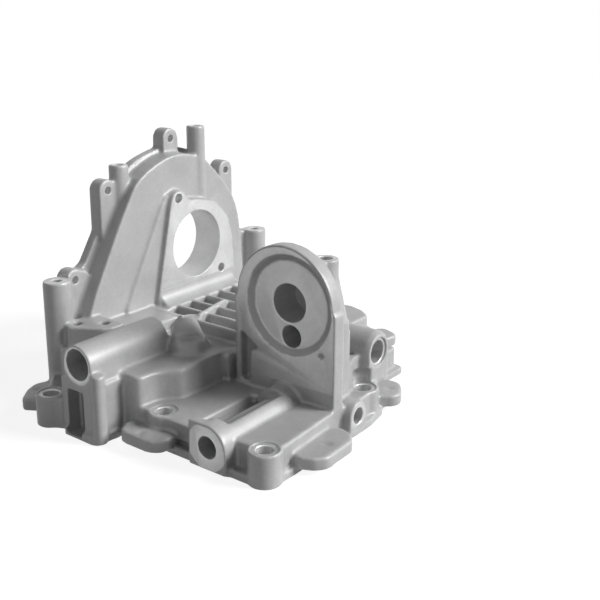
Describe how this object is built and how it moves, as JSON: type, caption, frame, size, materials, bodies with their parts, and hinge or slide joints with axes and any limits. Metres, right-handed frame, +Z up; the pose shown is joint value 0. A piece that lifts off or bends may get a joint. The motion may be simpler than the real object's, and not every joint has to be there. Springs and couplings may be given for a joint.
{
  "type": "oil cooler housing",
  "caption": "one-piece aluminium oil cooler housing with a tall rear cover, filter flange and underside cooler chamber",
  "frame": {"origin": "on the base gasket face where its two inner sealing ribs cross", "axes": "+Z up out of the base, +X to the right front side with the pipe ports, +Y to the back, away from the barrel mouths"},
  "size_m": [0.2259, 0.2746, 0.1785],
  "materials": {
    "cast": "satin"
  },
  "bodies": {
    "root": {"housing": "cast"}
  },
  "joints": []
}
